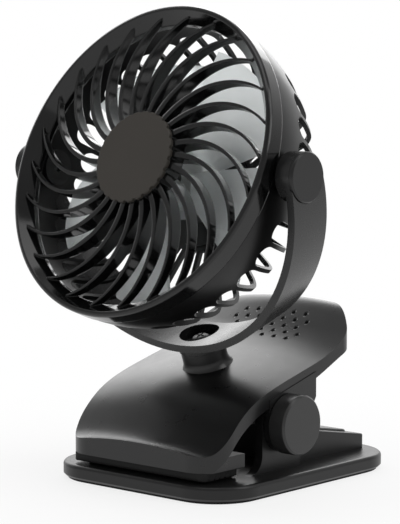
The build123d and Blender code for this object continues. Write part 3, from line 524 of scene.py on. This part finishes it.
def screw_mesh(shank, length, head, height):
    """A pan head with a tapered cross recess and a threaded shank, its seat at z = 0."""
    tip, root, crest = shank * 0.55, shank * 0.82, shank * 0.99
    thread, half_thread, neck = shank * 0.36, shank * 0.18, shank * 0.2
    dome_steps = 6
    profile = [(0, -length), (tip, -length)]
    turns = int(length / (shank * 0.5))
    for i in range(turns):
        z = -length + (i + 0.3) * length / (turns + 1)
        profile += [(root, z), (crest, z + half_thread), (root, z + thread)]
    profile += [(root, -neck), (shank, 0), (head * 0.96, 0), (head, height * 0.08)]
    for i in range(dome_steps + 1):
        a = math.radians(90 * i / dome_steps)
        profile.append((head * (0.30 + 0.70 * math.cos(a)), height * (0.40 + 0.60 * math.sin(a))))
    profile.append((0, height))
    body = add_mesh("screw_blank", *turned(profile), steel)
    corners = cross_outline(head * 0.62, head * 0.14)
    rings = [[Vector((x * grow, y * grow, z)) for x, y in corners]
             for z, grow in ((height * 0.30, 0.45), (height * 1.2, 1.0))]
    cut_away(body, add_mesh("screw_tool", *loft(rings), recess, None))
    mesh = body.data
    bpy.data.objects.remove(body)
    return mesh


def screws(name, mesh, places, node, body, shader=steel):
    """One piece for all screws of a node; each place is a matrix for the seat."""
    form = bmesh.new()
    for place in places:
        first = len(form.verts)
        form.from_mesh(mesh)
        form.verts.ensure_lookup_table()
        bmesh.ops.transform(form, matrix=place, verts=form.verts[first:])
    whole = bpy.data.meshes.new(name)
    form.to_mesh(whole)
    form.free()
    piece = show(name, whole, shader, 30)
    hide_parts(node)
    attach(piece, body)


def make_screws():
    case_mesh = screw_mesh(1.3 * mm, 4.0 * mm, 2.6 * mm, 1.0 * mm)
    places = [facing((side * case_screw_x_mm * mm, y * mm, case_screw_seat_mm * mm), (0, 0, -1))
              for side in (-1, 1) for y in case_screw_rows_mm]
    screws("case_screw_set", case_mesh, places, "case_screws", "base")

    swivel_mesh = screw_mesh(2.0 * mm, 12.0 * mm, 4.0 * mm, 2.4 * mm)
    seat = facing(collar + swivel_axis * swivel_seat_mm * mm, swivel_axis)
    # the swivel screw takes the dark steel that paints the well's shade
    screws("swivel_cross_screw", swivel_mesh, [seat], "swivel_screw", "jaw", well_screw_painted_shade)

    motor_mesh = screw_mesh(1.3 * mm, 7.0 * mm, 2.4 * mm, 1.4 * mm)
    pivot = collar + swivel_axis * collar_to_pivot_mm * mm
    back = pivot - fan_axis * motor_screw_back_mm * mm
    across = Vector((1, 0, 0))
    up = fan_axis.cross(across)
    places = []
    for angle in (90, 210, 330):
        a = math.radians(angle)
        spot = back + (across * math.cos(a) + up * math.sin(a)) * motor_screw_circle_mm * mm
        places.append(facing(spot, -fan_axis))
    screws("motor_cross_screws", motor_mesh, places, "motor_screws", "head")


# ---- charging socket's tongue ------------------------------------------------------------
def make_tongue():
    """The tongue in the socket's mouth, with a row of contacts on both faces."""
    outline = rounded_outline(3.3 * mm, 0.35 * mm, 0.2 * mm, 3)
    rings = [[socket_middle + Vector((x * grow, y * mm, z * grow)) for x, z in outline]
             for y, grow in ((57.2, 1.0), (61.9, 1.0), (62.15, 0.93))]
    tongue = add_mesh("socket_tongue", *loft(rings), dark)
    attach(tongue, "base")

    count, pitch_mm, foot_mm, top_mm, low_mm, high_mm = 8, 0.72, 0.16, 0.12, 0.30, 0.38
    points, faces = [], []
    for face in (-1, 1):
        low, high = face * low_mm * mm, face * high_mm * mm
        section = ((-foot_mm, low), (-top_mm, high), (top_mm, high), (foot_mm, low))
        for i in range(count):
            x = (i - (count - 1) / 2) * pitch_mm * mm
            rings = [[socket_middle + Vector((x + dx * mm, y * mm, z)) for dx, z in section]
                     for y in (58.5, 61.7)]
            more, ends = loft(rings)
            faces += [tuple(len(points) + k for k in f) for f in ends]
            points += more
    contacts = add_mesh("socket_contacts", points, faces, gold, None)
    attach(contacts, "base")


# ---- foot sheet --------------------------------------------------------------------------
def make_foot():
    """A sheet with softened edges and holes for the case screws."""
    shader = treaded("foot_rubber_tread")
    middle = Vector(plate_middle_mm) * mm
    half_x, half_y = plate_half_mm
    rings = []
    for z, inset in ((0.0, 0.5), (0.15, 0.15), (0.4, 0.0), (0.9, 0.0), (1.2, 0.1)):
        line = rounded_outline((half_x - inset) * mm, (half_y - inset) * mm,
                               (plate_corner_mm - inset) * mm)
        rings.append([middle + Vector((x, y, z * mm)) for x, y in line])
    foot = add_mesh("foot_sheet", *loft(rings), shader)
    hole, below, above = 2.9 * mm, -2 * mm, 3 * mm
    points, faces = turned([(0, below), (hole, below), (hole, above), (0, above)])
    for side in (-1, 1):
        for y in case_screw_rows_mm:
            place = Vector((side * case_screw_x_mm, y, 0)) * mm
            cut_away(foot, add_mesh("foot_tool", [p + place for p in points], faces, shader, None))
    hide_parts("non_slip_foot")
    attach(foot, "base")


make_spring()
make_pads()
make_pits()
make_screws()
make_tongue()
make_foot()

# ---- floor, backdrop and light -----------------------------------------------------------
floor_size = 12.0
floor_colour = (0.88, 0.88, 0.88)
floor_gloss = 0.85
floor_white_radii = (0.06, 0.26)
floor_white_shares = (0.80, 1.0)
soft_strength = 0.55
backdrop_direction = (-0.66, 0.75, 0.0)
backdrop_facing = (0.1, 0.8)
backdrop_strengths = (0.42, 1.0)
dome_heights = (0.40, 0.90)
dome_strengths = (1.0, 0.75)
lamps = (("soft_box_back_left", (-133, 28), (1.4, 0.65), 5.5),
         ("soft_box_right", (112, 38), (0.5, 0.8), 2.5),
         ("soft_box_top", (20, 80), (0.8, 0.8), 3.0))
lamp_distance = 1.1


class Rays(Nodes):
    """What a ray is for: the background shows in the camera, in reflections and through blades."""

    def __init__(self, tree):
        super().__init__(tree)
        kinds = tree.nodes.new("ShaderNodeLightPath").outputs
        self.straight = self.math("MAXIMUM", kinds["Is Camera Ray"], kinds["Is Transmission Ray"])
        self.seen = self.math("MAXIMUM", self.straight, kinds["Is Glossy Ray"])

    def blend(self, share, first, second, output):
        """Mixes two shaders by a share, into the output."""
        node = self.tree.nodes.new("ShaderNodeMixShader")
        for value, socket in zip((share, first, second), node.inputs):
            self.put(value, socket)
        self.put(node.outputs[0], output.inputs["Surface"])


def make_floor():
    mesh = bpy.data.meshes.new("floor")
    half = floor_size / 2
    corners = [(-half, -half, 0), (half, -half, 0), (half, half, 0), (-half, half, 0)]
    mesh.from_pydata(corners, [], [(0, 1, 2, 3)])
    shader = Shader("floor_white")
    shader.set(Base_Color=(*floor_colour, 1.0), Roughness=0.9, Specular_IOR_Level=0.1)
    tree = shader.tree
    length = tree.nodes.new("ShaderNodeVectorMath")
    length.operation = "LENGTH"
    shader.put(shader.place, length.inputs[0])
    rays = Rays(tree)
    share = rays.ramp(length.outputs["Value"], *floor_white_radii, *floor_white_shares, True)
    white = tree.nodes.new("ShaderNodeEmission")
    rays.put(rays.math("MAXIMUM", rays.straight, floor_gloss), white.inputs["Strength"])
    rays.blend(rays.math("MULTIPLY", share, rays.seen), shader.surface.outputs["BSDF"],
               white.outputs["Emission"], tree.nodes["Material Output"])
    show("floor", mesh, shader)


def make_world():
    world = bpy.data.worlds.new("studio")
    scene.world = world
    world.use_nodes = True
    tree = world.node_tree
    tree.nodes.clear()
    rays = Rays(tree)
    place = tree.nodes.new("ShaderNodeTexCoord").outputs["Generated"]
    direction = tree.nodes.new("ShaderNodeSeparateXYZ")
    rays.put(place, direction.inputs[0])
    facing_wall = tree.nodes.new("ShaderNodeVectorMath")
    facing_wall.operation = "DOT_PRODUCT"
    rays.put(place, facing_wall.inputs[0])
    rays.put(backdrop_direction, facing_wall.inputs[1])
    wall = rays.ramp(facing_wall.outputs["Value"], *backdrop_facing, *backdrop_strengths, True)
    dome = rays.ramp(direction.outputs["Z"], *dome_heights, *dome_strengths, True)
    seen_strength = rays.math("MAXIMUM", rays.straight, rays.math("MULTIPLY", wall, dome))
    backgrounds = []
    for strength in (soft_strength, seen_strength):
        node = tree.nodes.new("ShaderNodeBackground")
        rays.put((1, 1, 1, 1), node.inputs["Color"])
        rays.put(strength, node.inputs["Strength"])
        backgrounds.append(node.outputs[0])
    rays.blend(rays.seen, *backgrounds, tree.nodes.new("ShaderNodeOutputWorld"))


def make_lamps():
    for name, (azimuth, height), (width, depth), power in lamps:
        data = bpy.data.lights.new(name, "AREA")
        data.shape = "RECTANGLE"
        data.size = width
        data.size_y = depth
        data.energy = power
        aim(bpy.data.objects.new(name, data), toward(azimuth, height), lamp_distance)


make_floor()
make_world()
make_lamps()

scene.view_settings.view_transform = "Standard"
